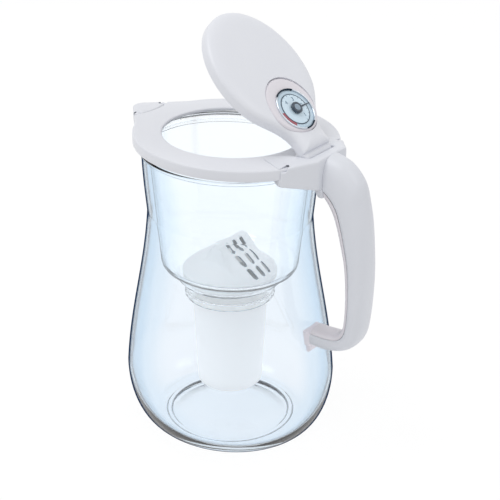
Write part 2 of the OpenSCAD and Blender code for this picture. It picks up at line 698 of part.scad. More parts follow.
module counter_knob() color([0.25, 0.3, 0.38]) dial_pose() difference() {
    rotate_extrude($fn = seg) polygon([[0, pointer_z + 0.5], [hub_r, pointer_z + 0.5], [hub_r, pointer_z + 1.7],
        [hub_r - 0.8, pointer_z + 2.5], [0, pointer_z + 2.5]]);
    cylinder(r = shaft_r, h = shaft_top, $fn = 48);
}

module counter_shaft() color("silver") dial_pose() translate([0, 0, 2.3])
    cylinder(r = shaft_r, h = shaft_top - 2.3, $fn = 48);

tooth = 360 / wheel_teeth;
tooth_depth = 0.8;
pawl_x = chamber_r - 2;
pawl_pin_r = 0.8;
pawl_l = 6.8;
pawl_angle = 52;

module ratchet_wheel() color([0.8, 0.78, 0.7]) dial_pose() translate([0, 0, 4.6]) linear_extrude(2.4)
    difference() {
        polygon([for (k = [0:wheel_teeth - 1]) each let (v = 142 + k * tooth)
            [wheel_r * [cos(v), sin(v)], (wheel_r - tooth_depth) * [cos(v + 2), sin(v + 2)]]]);
        circle(r = shaft_r, $fn = 48);
    }

module ratchet_pawl() color([0.6, 0.62, 0.65]) dial_pose() translate([-pawl_x, 0, 4.8]) rotate([0, 0, pawl_angle])
    linear_extrude(2) difference() {
        union() {
            circle(r = 1.6, $fn = 32);
            polygon([[0, 1.4], [0, -1.4], [2.5, -0.9], [pawl_l, -0.3], [pawl_l - 0.6, 0.9]]);
        }
        circle(r = pawl_pin_r + fit, $fn = 24);
    }

module pawl_pin() color("silver") dial_pose() translate([-pawl_x, 0, 3])
    cylinder(r = pawl_pin_r, h = 4.2, $fn = 24);

jug();
funnel();
retaining_ring();
cartridge_cup();
cartridge_cap();
cartridge_seal();
filter_media();
media_screens();
cover_ring();
handle_hood();
handle_shell();
handle_inner_cover();
handle_screws();
handle_foot_pad();
lid_hinge_pin();
spout_flap();
lid_shell();
lid_liner();
counter_housing();
counter_bezel();
counter_face();
counter_red_sector();
counter_pointer();
counter_knob();
counter_shaft();
ratchet_wheel();
ratchet_pawl();
pawl_pin();
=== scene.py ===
from math import acos, atan2, cos, degrees, exp, hypot, pi, radians, sin, sqrt

import bmesh
import bpy
from mathutils import Matrix, Vector


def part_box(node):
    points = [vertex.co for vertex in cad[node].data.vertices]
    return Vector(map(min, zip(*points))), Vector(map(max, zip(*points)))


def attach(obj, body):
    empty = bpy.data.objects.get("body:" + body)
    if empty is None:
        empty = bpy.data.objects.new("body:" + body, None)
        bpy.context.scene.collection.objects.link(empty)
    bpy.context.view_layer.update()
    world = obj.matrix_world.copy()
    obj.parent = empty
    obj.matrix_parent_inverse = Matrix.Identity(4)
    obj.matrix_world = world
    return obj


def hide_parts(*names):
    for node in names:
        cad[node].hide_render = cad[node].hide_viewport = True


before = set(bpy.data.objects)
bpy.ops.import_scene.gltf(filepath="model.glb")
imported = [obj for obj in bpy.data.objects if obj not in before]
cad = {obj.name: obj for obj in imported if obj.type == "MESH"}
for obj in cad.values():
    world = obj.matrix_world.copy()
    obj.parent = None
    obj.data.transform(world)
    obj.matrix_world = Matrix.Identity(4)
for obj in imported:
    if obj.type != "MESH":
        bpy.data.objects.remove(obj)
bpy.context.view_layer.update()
scene = bpy.context.scene


# ---- Colours and nodes ----

def tone(hex_code):
    """sRGB hex to linear RGBA."""
    parts = [int(hex_code[k:k + 2], 16) / 255 for k in (1, 3, 5)]
    return [c / 12.92 if c <= 0.04045 else ((c + 0.055) / 1.055) ** 2.4 for c in parts] + [1]


def node(tree, kind, settings={}, links={}):
    """Adds a node, gives it its settings by name, and links or sets its inputs."""
    made = tree.nodes.new(kind)
    for key, value in settings.items():
        setattr(made, key, value)
    for key, value in links.items():
        if isinstance(value, bpy.types.NodeSocket):
            tree.links.new(value, made.inputs[key])
        else:
            made.inputs[key].default_value = value
    return made


def blank_material(name):
    material = bpy.data.materials.new(name)
    material.use_nodes = True
    tree = material.node_tree
    tree.nodes.clear()
    output = tree.nodes.new("ShaderNodeOutputMaterial")
    place = tree.nodes.new("ShaderNodeTexCoord").outputs["Object"]
    return material, tree, output, place


def moulded(name, colour, shade, roughness=0.34, grain=0.04, coat=0.0, glow=0.0):
    """Injection-moulded plastic: even colour, a satin gloss, a fine spark-eroded grain and, where given, a
    painted glow.
    """
    material, tree, output, place = blank_material(name)
    drift = node(tree, "ShaderNodeTexNoise", {}, {"Vector": place, "Scale": 1 / 0.05, "Detail": 2})
    mix = node(tree, "ShaderNodeMix", {"data_type": "RGBA"}, {"Factor": drift.outputs["Fac"]})
    mix.inputs["A"].default_value = tone(colour)
    mix.inputs["B"].default_value = tone(shade)
    fine = node(tree, "ShaderNodeTexNoise", {}, {"Vector": place, "Scale": 1 / 0.0005, "Detail": 1})
    bump = node(tree, "ShaderNodeBump", {}, {
        "Height": fine.outputs["Fac"], "Strength": grain, "Distance": 0.0002})
    rough = node(tree, "ShaderNodeMapRange", {}, {"Value": drift.outputs["Fac"]})
    rough.inputs["To Min"].default_value = roughness - 0.03
    rough.inputs["To Max"].default_value = roughness + 0.03
    shader = node(tree, "ShaderNodeBsdfPrincipled", {}, {
        "Base Color": mix.outputs["Result"], "Roughness": rough.outputs["Result"], "IOR": 1.53,
        "Normal": bump.outputs["Normal"], "Coat Weight": coat, "Coat Roughness": 0.1,
        "Emission Color": mix.outputs["Result"], "Emission Strength": glow})
    tree.links.new(shader.outputs["BSDF"], output.inputs["Surface"])
    return material


def clear_plastic(name, tints, edge, roughness, edge_from, edge_to, dark=1.0, painted_haze_glow=0.0):
    """Clear plastic: nearly colourless face on, cooler towards the sides, painted dark where seen edge on
    and, where given, a faint painted glow.
    """
    material, tree, output, place = blank_material(name)
    facing = node(tree, "ShaderNodeLayerWeight", {}, {"Blend": 0.5}).outputs["Facing"]
    tint = node(tree, "ShaderNodeValToRGB", {}, {"Fac": facing})
    tint.color_ramp.interpolation = "EASE"
    for k, (at, colour) in enumerate(tints):
        stop = tint.color_ramp.elements[k] if k < 2 else tint.color_ramp.elements.new(at)
        stop.position = at
        stop.color = tone(colour)
    ripple = node(tree, "ShaderNodeTexNoise", {}, {"Vector": place, "Scale": 1 / 0.03, "Detail": 1})
    bump = node(tree, "ShaderNodeBump", {}, {
        "Height": ripple.outputs["Fac"], "Strength": 0.03, "Distance": 0.001})
    shader = node(tree, "ShaderNodeBsdfPrincipled", {}, {
        "Base Color": tint.outputs["Color"], "Roughness": roughness, "IOR": 1.49,
        "Transmission Weight": 1.0, "Normal": bump.outputs["Normal"],
        "Emission Color": (1, 1, 1, 1), "Emission Strength": painted_haze_glow})
    line = node(tree, "ShaderNodeBsdfDiffuse", {}, {"Color": tone(edge)})
    rim = node(tree, "ShaderNodeMapRange", {"interpolation_type": "SMOOTHSTEP"}, {"Value": facing})
    rim.inputs["From Min"].default_value = edge_from
    rim.inputs["From Max"].default_value = edge_to
    rim.inputs["To Max"].default_value = dark
    mix = node(tree, "ShaderNodeMixShader", {}, {
        0: rim.outputs["Result"], 1: shader.outputs["BSDF"], 2: line.outputs[0]})
    tree.links.new(mix.outputs[0], output.inputs["Surface"])
    return material


def metal(name, colour, roughness, brush_mm):
    """Bright metal with fine turning lines that stretch its highlights."""
    material, tree, output, place = blank_material(name)
    lines = node(tree, "ShaderNodeTexNoise", {}, {"Vector": place, "Scale": 1000 / brush_mm, "Detail": 2})
    rough = node(tree, "ShaderNodeMapRange", {}, {"Value": lines.outputs["Fac"]})
    rough.inputs["To Min"].default_value = roughness
    rough.inputs["To Max"].default_value = roughness + 0.08
    shader = node(tree, "ShaderNodeBsdfPrincipled", {}, {
        "Base Color": tone(colour), "Metallic": 1.0, "Roughness": rough.outputs["Result"]})
    tree.links.new(shader.outputs["BSDF"], output.inputs["Surface"])
    return material


def speckled(name, colour, shade, roughness, size_mm, depth):
    """Loose or woven stuff: cells of two colours with a bump of the same size."""
    material, tree, output, place = blank_material(name)
    cells = node(tree, "ShaderNodeTexVoronoi", {}, {"Vector": place, "Scale": 1000 / size_mm})
    mix = node(tree, "ShaderNodeMix", {"data_type": "RGBA"}, {"Factor": cells.outputs["Distance"]})
    mix.inputs["A"].default_value = tone(colour)
    mix.inputs["B"].default_value = tone(shade)
    bump = node(tree, "ShaderNodeBump", {}, {
        "Height": cells.outputs["Distance"], "Strength": depth, "Distance": 0.0005})
    shader = node(tree, "ShaderNodeBsdfPrincipled", {}, {
        "Base Color": mix.outputs["Result"], "Roughness": roughness, "Normal": bump.outputs["Normal"]})
    tree.links.new(shader.outputs["BSDF"], output.inputs["Surface"])
    return material


# SAN of the jug: glossy and nearly colourless, its blue tint its own, with dark navy edges painted where it
# is seen edge on
jug_clear = clear_plastic(
    "jug_san", [(0.25, "#f6fafe"), (0.85, "#a4c6e2"), (0.45, "#e4f0fa"), (0.65, "#cae0f2")],
    "#0b3054", 0.0, 0.75, 0.88)
# SAN of the funnel: a lightly polished mould leaves it a little rough, a faint painted glow makes it look
# milky, and its edges are painted dark grey where seen edge on
funnel_clear = clear_plastic(
    "funnel_san", [(0.3, "#feffff"), (0.9, "#dde5eb"), (0.6, "#f8fbfd"), (0.75, "#eef3f7")],
    "#46535e", 0.04, 0.84, 0.97, dark=0.8, painted_haze_glow=0.025)
# Painted shade on the narrow walls of the seam round the pouring flap, which stay in shadow
seam_painted_shade = moulded("seam_painted_shade", "#80858f", "#7a7f89", roughness=0.5)
# ABS of the lid and cover: cool white with a satin gloss
lid_abs = moulded("lid_abs", "#e9ebf1", "#e5e7ee")
cover_abs = moulded("cover_abs", "#e7e9ef", "#e3e5ec")
# ABS of the handle and hood: the same moulding, a shade greyer
handle_abs = moulded("handle_abs", "#e4e6ed", "#dfe2e9", roughness=0.38)
inner_abs = moulded("inner_cover_abs", "#ece8ee", "#e8e4ea", roughness=0.42)
# ABS of the handle's foot pad, with a painted glow that lightens its face seen through the jug
foot_abs = moulded("foot_abs", "#ece8ef", "#e6e2ea", roughness=0.4, glow=0.12)
liner_abs = moulded("liner_abs", "#e2e4ea", "#dcdfe6", roughness=0.45)
counter_abs = moulded("counter_abs", "#e8e4ea", "#e3e0e7", roughness=0.3)
# Polypropylene of the cartridge: softer white, waxy, with a painted glow that lightens it inside the jug
cup_pp = moulded("cup_polypropylene", "#f5f6f7", "#f1f3f4", roughness=0.45, grain=0.06, glow=0.26)
cap_pp = moulded("cap_polypropylene", "#f2f5f7", "#ecf0f3", roughness=0.5, grain=0.06, glow=0.24)
# Painted shade for the unlit inside of the cap and the walls of its slots, as they show through the slots
cap_painted_shade = moulded("cap_inside_painted_shade", "#8b959f", "#848e98", roughness=0.6)
seal_rubber = moulded("seal_silicone", "#8d99a6", "#84909d", roughness=0.6)
acetal = moulded("acetal", "#d8d4c8", "#d0ccbf", roughness=0.35)
media = speckled("carbon_granules", "#2c2a29", "#5a5653", 0.8, 1.2, 0.9)
screen = speckled("polyester_screen", "#f0f1f1", "#b9bcbd", 0.7, 0.6, 0.5)
chrome = metal("chrome_plate", "#cfd6de", 0.08, 0.3)
# Dark reflections painted on two stretches of the bezel
bezel_painted_reflection = metal("bezel_painted_reflection", "#1a2a3a", 0.12, 0.3)
steel = metal("stainless_steel", "#a9adb2", 0.25, 0.2)
# Metallised print of the dial: pale blue with a soft metallic sheen
dial_blue = moulded("dial_print", "#dceefa", "#cde5f5", roughness=0.22, coat=0.6)
dial_ring_blue = moulded("dial_ring_print", "#cfe3f1", "#bdd6e8", roughness=0.2, coat=0.6)
dial_red = moulded("dial_red_print", "#a8505f", "#9c4755", roughness=0.3, coat=0.4)
ink = moulded("dial_ink", "#4a6a86", "#43627d", roughness=0.4)
# Dark line round the dial's step
step_line_dark = moulded("dial_step_line_dark", "#33485a", "#2b3f50", roughness=0.3)
navy = moulded("navy_abs", "#22384c", "#1d3143", roughness=0.18, coat=0.5)
hub_grey = moulded("hub_grey_abs", "#8fa3b3", "#8398a9", roughness=0.25, coat=0.4)


# ---- Making pieces ----

def loft(place, levels, segments):
    """A capped skin through rings: place(turn, level) gives a point in mm at a share of a turn."""
    bm = bmesh.new()
    turn = bm.verts.layers.float.new("turn")
    ring = bmesh.ops.create_circle(bm, segments=segments, radius=1)["verts"]
    for k, v in enumerate(ring):
        v[turn] = k / segments
        v.co = Vector(place(v[turn], levels[0])) / 1000
    first = bm.edges[:]
    edges = first
    for level in levels[1:]:
        made = bmesh.ops.extrude_edge_only(bm, edges=edges)["geom"]
        edges = [g for g in made if isinstance(g, bmesh.types.BMEdge)]
        for v in made:
            if isinstance(v, bmesh.types.BMVert):
                v.co = Vector(place(v[turn], level)) / 1000
    if levels[-1] != levels[0]:
        bmesh.ops.edgeloop_fill(bm, edges=first)
        bmesh.ops.edgeloop_fill(bm, edges=edges)
    return bm


def as_object(name, bm):
    bmesh.ops.remove_doubles(bm, verts=bm.verts, dist=2e-6)
    bmesh.ops.recalc_face_normals(bm, faces=bm.faces)
    mesh = bpy.data.meshes.new(name)
    bm.to_mesh(mesh)
    bm.free()
    piece = bpy.data.objects.new(name, mesh)
    scene.collection.objects.link(piece)
    return piece


def settle(piece):
    """Keeps the evaluated mesh, with every modifier used up."""
    graph = bpy.context.evaluated_depsgraph_get()
    mesh = bpy.data.meshes.new_from_object(piece.evaluated_get(graph))
    piece.modifiers.clear()
    piece.data = mesh


def cut(piece, cutter):
    """Takes the cutter's volume out of the piece and deletes the cutter."""
    knife = piece.modifiers.new("cut", "BOOLEAN")
    knife.operation = "DIFFERENCE"
    knife.solver = "EXACT"
    knife.object = cutter
    settle(piece)
    bpy.data.objects.remove(cutter)


def dress(piece, material, body, slot, *stands_for, crease=32):
    """Smooth shading up to the crease angle, a material, a body to ride on and the nodes it stands for."""
    piece.data.shade_smooth()
    piece.data.set_sharp_from_angle(angle=radians(crease))
    piece.data.materials.clear()
    piece.data.materials.append(material)
    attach(piece, body)
    if stands_for:
        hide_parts(*stands_for)
    return piece


def merged_copy(name, source):
    """A copy of a CAD node with its loose triangles joined."""
    bm = bmesh.new()
    bm.from_mesh(cad[source].data)
    bmesh.ops.remove_doubles(bm, verts=bm.verts, dist=2e-6)
    mesh = bpy.data.meshes.new(name)
    bm.to_mesh(mesh)
    bm.free()
    piece = bpy.data.objects.new(name, mesh)
    scene.collection.objects.link(piece)
    return piece


def softened(name, source, grid_mm, rounds):
    """A copy of a CAD node with all its edges rounded, as a mould leaves them."""
    piece = merged_copy(name, source)
    grid = piece.modifiers.new("grid", "REMESH")
    grid.mode = "VOXEL"
    grid.voxel_size = grid_mm / 1000
    grid.use_smooth_shade = True
    ease = piece.modifiers.new("ease", "SMOOTH")
    ease.factor = 0.5
    ease.iterations = rounds
    settle(piece)
    return piece


def upright_bar(name, x, z0, z1, radius):
    """Plain cylinder over the middle line, used to cut with."""
    return as_object(name, loft(
        lambda t, z: (x + radius * cos(2 * pi * t), radius * sin(2 * pi * t), z), [z0, z1], 256))


def block(name, low, high):
    """Plain box, used to cut with."""
    bm = bmesh.new()
    made = bmesh.ops.create_cube(bm, size=1)["verts"]
    bmesh.ops.scale(bm, verts=made, vec=[(high[k] - low[k]) / 1000 for k in range(3)])
    bmesh.ops.translate(bm, verts=made, vec=[(high[k] + low[k]) / 2000 for k in range(3)])
    return as_object(name, bm)


# ---- Jug ----

jug_h = 262
oval = 0.92
jug_wall = 2.6
belly_z = 55
waist_z = 202
outer_base = 1.5
floor_z = 5.5


def jug_half(z, base):
    """Half length of the jug at a height, for a skin whose belly starts at the base height."""
    if z < belly_z:
        return 66 + 28.3 * sqrt(max(0, 1 - ((belly_z - z) / (belly_z - base)) ** 2))
    if z < waist_z:
        u = (z - belly_z) / (waist_z - belly_z)
        return 94.3 - 22 * (u / 2 + (1 - cos(pi * u)) / 4)
    return 72.3 + 3.7 * sin(pi / 2 * (z - waist_z) / (jug_h - waist_z))


def jug_level(z, out=0.0):
    half = jug_half(z, outer_base) + out
    return (half, oval * half, z)


def ellipse(turn, level):
    return (level[0] * cos(2 * pi * turn), level[1] * sin(2 * pi * turn), level[2])


def jug_inside(z):
    half = jug_half(z, floor_z)
    return (half - jug_wall, oval * half - jug_wall, z)


bowl_turns = [radians(90 * k / 18) for k in range(1, 19)]
side_steps = [belly_z + (waist_z - belly_z) * k / 30 for k in range(1, 31)]
neck_steps = [waist_z + 0.8, waist_z + 2.5] + [waist_z + 6 * k for k in range(1, 9)]
bead = [(-3.8, 0), (-3.5, 0.5), (-3.1, 1.1), (-2.4, 1.5), (-1.6, 1.6), (-0.9, 1.3), (-0.4, 0.7), (-0.1, 0.1)]
rim = [(-1.2, 0), (-0.5, -0.15), (-0.1, -0.6), (0, -1.3), (-0.1, -2.0), (-0.5, -2.45), (-1.2, -2.6)]

foot_ring = [(1, 1, 1.5), (30, 30, 1.5), (52.4, 52.4, 1.5), (53, 53, 1.2), (53.3, 53.3, 0.5), (54, 54, 0.05),
             (55.5, 55.5, 0), (57, 57, 0.05), (57.7, 57.7, 0.5), (58, 58, 1.2), (58.8, 58.4, 1.5),
             (66, 60.7, 1.5)]
bead_z = 258
jug_levels = foot_ring + [jug_level(belly_z - (belly_z - outer_base) * cos(v)) for v in bowl_turns]
jug_levels += [jug_level(z) for z in side_steps + neck_steps]
jug_levels += [jug_level(bead_z + dz, out) for dz, out in bead]
jug_levels += [(jug_half(jug_h, 0) + out, oval * jug_half(jug_h, 0) + out, jug_h + dz) for dz, out in rim]
jug_levels += [jug_inside(z) for z in [255] + neck_steps[::-1] + side_steps[::-1]]
jug_levels += [jug_inside(belly_z - (belly_z - floor_z) * cos(v)) for v in bowl_turns[::-1]]
jug_levels += [(60, 56, floor_z), (30, 28, floor_z), (1, 1, floor_z)]
jug = as_object("jug_shell", loft(ellipse, jug_levels, 144))
dress(jug, jug_clear, "jug_unit", "clear_jug", "jug", crease=50)
jug.visible_shadow = False


# ---- Funnel and its ring ----

flange_top = 264
seat_z = 140
neck_r = 37
seat_r = 35.2
well_r = 43
pour_half = 19
funnel_wall = 1.8


def funnel_ring(turn, level):
    """Ellipse, drawn in to the wall where the flange leaves a gap for the pouring stream."""
    a, b, z, wall = level
    x = a * cos(2 * pi * turn)
    y = b * sin(2 * pi * turn)
    if wall and x < 0 and abs(y) < pour_half:
        x = x / a * wall[0]
        y = y / b * wall[1]
    return (x, y, z)


def funnel_wall_at(z, inset):
    """Half axes of the funnel's side at a height."""
    u = (z - 158) / (flange_top - 158)
    return (60 + 10.4 * u - inset, 57 + 7.32 * u - inset)


def funnel_bowl(inset, rise):
    """Levels from the well to the foot of the side, with rounded turns."""
    raw = [(well_r, well_r, seat_z), (46, 45, 142.4), (50, 47.7, 146.8), (53, 50, 150.2), (56, 52.9, 152.0),
           (58.2, 55.1, 153.6), (59.4, 56.4, 155.6), (60, 57, 158)]
    return [(a - inset, b - inset, z + rise, None) for a, b, z in raw]


outside = funnel_wall_at(261, 0)
funnel_levels = [(neck_r, neck_r, z, None) for z in (125.4, 128, 131, 134, 139)]
funnel_levels[0:0] = [(35.6, 35.6, 125, None), (36.6, 36.6, 125, None)]
funnel_levels += [(37.4, 37.4, 139.7, None), (38.5, 38.5, 140, None)] + funnel_bowl(0, 0)
funnel_levels += [(*funnel_wall_at(z, 0), z, None) for z in (170, 185, 200, 215, 230, 245, 256, 261)]
funnel_levels += [(*funnel_wall_at(261.6, -0.4), 261.8, None), (76.2, 70.1, 262.02, outside),
                  (76.8, 70.7, 262.5, outside), (76.8, 70.7, 263.5, outside),
                  (76.2, 70.1, flange_top, outside),
                  (*funnel_wall_at(flange_top, 0.6), flange_top, None),
                  (*funnel_wall_at(263.4, funnel_wall), 263.4, None)]
funnel_levels += [(*funnel_wall_at(z, funnel_wall), z, None) for z in (256, 245, 230, 215, 200, 185, 170)]
funnel_levels += funnel_bowl(funnel_wall, funnel_wall)[::-1]
funnel_levels += [(38, 38, 141.8, None), (36, 36, 141.6, None), (seat_r, seat_r, 140.6, None),
                  (seat_r, seat_r, 132, None), (seat_r, seat_r, 125.4, None), (35.6, 35.6, 125, None)]
funnel = as_object("funnel_shell", loft(funnel_ring, funnel_levels, 144))
dress(funnel, funnel_clear, "funnel_unit", "clear_funnel", "funnel", crease=50)
funnel.visible_shadow = False


def screw_ring(turn, level):
    """Ring with 24 shallow finger flutes."""
    r, z, flute = level
    r -= flute * 0.35 * (1 + cos(2 * pi * turn * 24)) / 2
    return (r * cos(2 * pi * turn), r * sin(2 * pi * turn), z)


ring_levels = [(37.1, 125.3, 0), (37.4, 125, 0), (38.6, 125, 0.5), (39.05, 125.5, 1), (39.05, 130.5, 1),
               (38.6, 131, 0.5), (37.4, 131, 0), (37.1, 130.7, 0), (37.1, 125.3, 0)]
ring = as_object("screw_ring", loft(screw_ring, ring_levels, 192))
dress(ring, funnel_clear, "funnel_unit", "clear_funnel", "retaining_ring", crease=60)
ring.visible_shadow = False


# ---- Cartridge ----

cup = merged_copy("cartridge_body", "cartridge_cup")
dress(cup, cup_pp, "cartridge_unit", "cartridge_white", "cartridge_cup")
cap_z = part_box("cartridge_cap")[0][2] * 1000
cap_h = 33
cap_r = 41
cap_wall = 1.9
ridge_front = 24
ridge_back = 16
ridge_half = 24


def blended_top(a, b, width):
    """The higher of two heights, with a soft change between them."""
    h = max(0, min(1, 0.5 + 0.5 * (a - b) / width))
    return b + (a - b) * h + width * h * (1 - h)


def cap_height(x, y):
    """Height of the cap above its rim: a cone with a ridge across it."""
    cone = 3.5 + (cap_r - hypot(x, y)) / 27 * 20.3
    front = 4.5 + (ridge_front - x) * 1.295
    back = 4.5 + (x + ridge_back) * 2.06
    side = 4.5 + (ridge_half - abs(y)) * 6
    ridge = -blended_top(blended_top(-front, -back, 3), blended_top(-side, 2 - cap_h, 2), 3)
    return blended_top(min(cone, 25), ridge, 3)


def cap_point(turn, level):
    """Level is a radius, then the depth below the dome, or None and the height of a rim's ring."""
    r, depth, rim_z = level
    x = r * cos(2 * pi * turn)
    y = r * sin(2 * pi * turn)
    if depth is None:
        return (x, y, cap_z + rim_z)
    return (x, y, cap_z + cap_height(x, y) - depth)


cap_rings = [0.6 + 1.02 * k for k in range(38)]
cap_rim = [(39.4, 0.2), (39.7, 0), (40.7, 0), (cap_r, 0.3), (cap_r, 2.6), (40.8, 3.2), (40.3, 3.6)]
cap_levels = [(r, cap_wall, 0) for r in cap_rings] + [(r, None, z) for r, z in cap_rim]
cap_levels += [(r, 0, 0) for r in cap_rings[::-1]]
cap = as_object("cartridge_dome", loft(cap_point, cap_levels, 160))

slot_r = 2.1
slot_run = 1.5
slot_middles = [(9 * column, cap_z + 9.75 + 8.58 * row) for row in range(3) for column in (-1, 0, 1)]


def slot_cutter(y, z):
    """A slot with round ends, cut level from the ridge's middle outwards."""
    def point(turn, level):
        v = 2 * pi * turn
        run = slot_run if sin(v) > 0 else -slot_run
        return (level, y + slot_r * cos(v), z + run + slot_r * sin(v))
    return as_object("slot_cutter", loft(point, [3, 40], 40))


def on_slot_wall(spot):
    """Whether a point in mm lies on the wall of one of the slots."""
    for y, z in slot_middles:
        run = max(-slot_run, min(slot_run, spot.z - z))
        if spot.x > 3 and abs(hypot(spot.y - y, spot.z - z - run) - slot_r) < 0.06:
            return True
    return False


for y, z in slot_middles:
    cut(cap, slot_cutter(y, z))
dress(cap, cap_pp, "cartridge_unit", "cap_white", "cartridge_cap", crease=50)
cap.data.materials.append(cap_painted_shade)
# Painted shade on the walls of the slots and on the cap's inner faces
for face in cap.data.polygons:
    spot = face.center * 1000
    below = cap_z + cap_height(spot.x, spot.y) - spot.z
    if on_slot_wall(spot) or (hypot(spot.x, spot.y) < 38.5 and below > 1.3):
        face.material_index = 1


# ---- Cover ring and spout ----

cover_top = 273
plate_z = 270.5
cover_a = 88
cover_b = 80
cover_shift = 6
mouth_a = 58.5
mouth_b = 56
mouth_shift = 2
spout_reach = 108
spout_r = 10
flap_x = 88
seam_back = 2
flap_bow = 4.5
seam_half = spout_reach - flap_x + seam_back
seam_r = (seam_half ** 2 + flap_bow ** 2) / (2 * flap_bow)
seam_mid = flap_bow + seam_back - flap_x - seam_r
tip_x = spout_r * sqrt(2) - spout_reach


def cover_edge(turn, inset):
    """The cover's outline: an oval joined to the spout's corner with its round tip."""
    c = cos(2 * pi * turn)
    s = sin(2 * pi * turn)
    a = cover_a - inset
    b = cover_b - inset
    qa = (c / a) ** 2 + (s / b) ** 2
    qb = -2 * cover_shift * c / a ** 2
    qc = cover_shift ** 2 / a ** 2 - 1
    reach = (-qb + sqrt(qb * qb - 4 * qa * qc)) / (2 * qa)
    if c < 0 and abs(s) < -0.8 * c:
        line = (spout_reach - inset * sqrt(2)) / (abs(c) + abs(s))
        side = abs(s / c)
        if side < 7.07 / 100.9:
            r = spout_r - inset
            line = -tip_x * abs(c) + sqrt(max(0, r * r - (tip_x * s) ** 2))
        reach = max(reach, line)
    return (reach * c, reach * s)


def mouth_edge(turn, out):
    return (mouth_shift + (mouth_a + out) * cos(2 * pi * turn), (mouth_b + out) * sin(2 * pi * turn))


def cover_point(turn, level):
    """Level is a share of the way from the outline to the mouth, an inset and a height."""
    share, inset, z = level
    outer = cover_edge(turn, inset if share < 1 else 0)
    if share == 0:
        return (*outer, z)
    hole = mouth_edge(turn, inset if share == 1 else 2.5)
    if share == 1:
        return (*hole, z)
    return (outer[0] + (hole[0] - outer[0]) * share, outer[1] + (hole[1] - outer[1]) * share, z)


cover_levels = [(0, 2.5, 264.5), (0, 2.1, 264.1), (0, 0.5, 264.1), (0, 0.15, 264.25), (0, 0, 264.6),
                (0, 0, 268), (0, 0, 271.6), (0, 0.12, 272.2), (0, 0.5, 272.7), (0, 1.1, 272.95),
                (0, 2, cover_top), (0.25, 2, cover_top), (0.5, 2, cover_top), (0.75, 2, cover_top),
                (1, 2.2, cover_top),
                (1, 1.0, 272.9), (1, 0.3, 272.5), (1, 0, 271.8), (1, 0, 270.6), (1, 0.3, 270.1), (1, 1, 270),
                (1, 2, 270.05), (1, 2.4, 270.3), (0.5, 3, plate_z), (0, 3, plate_z), (0, 2.5, 270),
                (0, 2.5, 264.5)]
cover = as_object("cover_shell", loft(cover_point, cover_levels, 288))
cut(cover, upright_bar("seam_cutter", seam_mid, 264.5, 290, seam_r))
cut(cover, block("barrel_cutter", (75.1, -17.5, 255), (122, 17.5, 290)))
dress(cover, cover_abs, "cover_unit", "cover_white", "cover_ring", crease=40)
cover.data.materials.append(seam_painted_shade)
# The cover's walls along the seam take the painted shade
for face in cover.data.polygons:
    spot = face.center * 1000
    if abs(hypot(spot.x - seam_mid, spot.y) - seam_r) < 0.05 and spot.x < -70:
        face.material_index = 1


def spout_floor_point(turn, level):
    """The floor of the spout: out along its outline and back along the jug's rim."""
    inset, z = level
    if turn < 0.6:
        x, y = cover_edge(0.4416 + 0.1168 * turn / 0.6, inset)
        return (min(x, -78), y, z)
    v = pi + 0.38 * (1 - 2 * (turn - 0.6) / 0.4)
    return ((77.6 + inset) * cos(v), (71.4 + inset) * sin(v), z)


def flap_edge(turn, inset):
    """The pouring flap's outline: spout sides, round tip, notches for the lugs and the bowed seam."""
    gap = 0.8
    k = 100.93 - inset * 0.7
    side = [(-90.6, 17.4), (-k, 7.07)]
    if turn < 0.25:
        u = turn / 0.25
        p = (side[0][0] + (side[1][0] - side[0][0]) * u, side[0][1] + (side[1][1] - side[0][1]) * u)
    elif turn < 0.45:
        v = radians(135 + 90 * (turn - 0.25) / 0.2)
        p = (tip_x + spout_r * cos(v), spout_r * sin(v))
    elif turn < 0.7:
        u = (turn - 0.45) / 0.25
        p = (side[1][0] + (side[0][0] - side[1][0]) * u, -side[1][1] - (side[0][1] - side[1][1]) * u)
    elif turn < 0.72:
        p = (-90.6, -17.4 + 3 * (turn - 0.7) / 0.02)
    elif turn < 0.75:
        p = (-90.6 + 6.6 * (turn - 0.72) / 0.03, -14.4)
    elif turn < 0.95:
        y = -14.4 + 28.8 * (turn - 0.75) / 0.2
        p = (seam_mid + sqrt((seam_r - gap) ** 2 - y * y), y)
    elif turn < 0.98:
        p = (-84 - 6.6 * (turn - 0.95) / 0.03, 14.4)
    else:
        p = (-90.6, 14.4 + 3 * (turn - 0.98) / 0.02)
    shrink = 1 - inset / 10
    return (-92 + (p[0] + 92) * shrink, p[1] * shrink)


def flap_point(turn, level):
    return (*flap_edge(turn, level[0]), level[1])


flap = as_object("pouring_flap", loft(flap_point, [
    (1, plate_z), (0.3, plate_z), (0, plate_z + 0.3), (0, 272.0), (0.12, 272.5), (0.4, 272.85),
    (0.9, cover_top), (5, cover_top)], 200))


def skirt_point(turn, level):
    """Wall below the flap's plate that closes the spout's end."""
    thick, z = level
    if turn < 0.5:
        u = turn / 0.5
        inset = 0
    else:
        u = 1 - (turn - 0.5) / 0.5
        inset = thick
    share = 0.5 + 0.0285 * 2 * (u - 0.5)
    x, y = cover_edge(share, inset)
    return (x, y, z)


skirt = as_object("flap_skirt", loft(
    skirt_point, [(1.8, 264.9), (1.8, 266.8), (1.8, 268.8), (1.8, plate_z + 0.05)], 120))
dress(flap, cover_abs, "flap_unit", "cover_white", "spout_flap", crease=40)
flap.data.materials.append(seam_painted_shade)
# The flap's wall facing the seam takes the painted shade
for face in flap.data.polygons:
    if face.normal.x > 0.7 and abs(face.normal.z) < 0.3:
        face.material_index = 1
dress(skirt, cover_abs, "flap_unit", "cover_white", crease=40)


# ---- Lid ----

hinge = Vector((83.5, 0, cover_top))
lid_open = radians(43)
lid_turn = Matrix.Rotation(lid_open, 3, "Y")
lid_gap = 0.4
lid_mid = 74.2
lid_half = 48
lid_round = 55.5
round_x = 77
neck_half = 17
dial_t = 36.3


def on_lid(x, y, h):
    """Point in mm of the lid's own frame, from its hinge towards its tip along -x, h above its underside."""
    return hinge + lid_turn @ Vector((x, y, lid_gap + h))


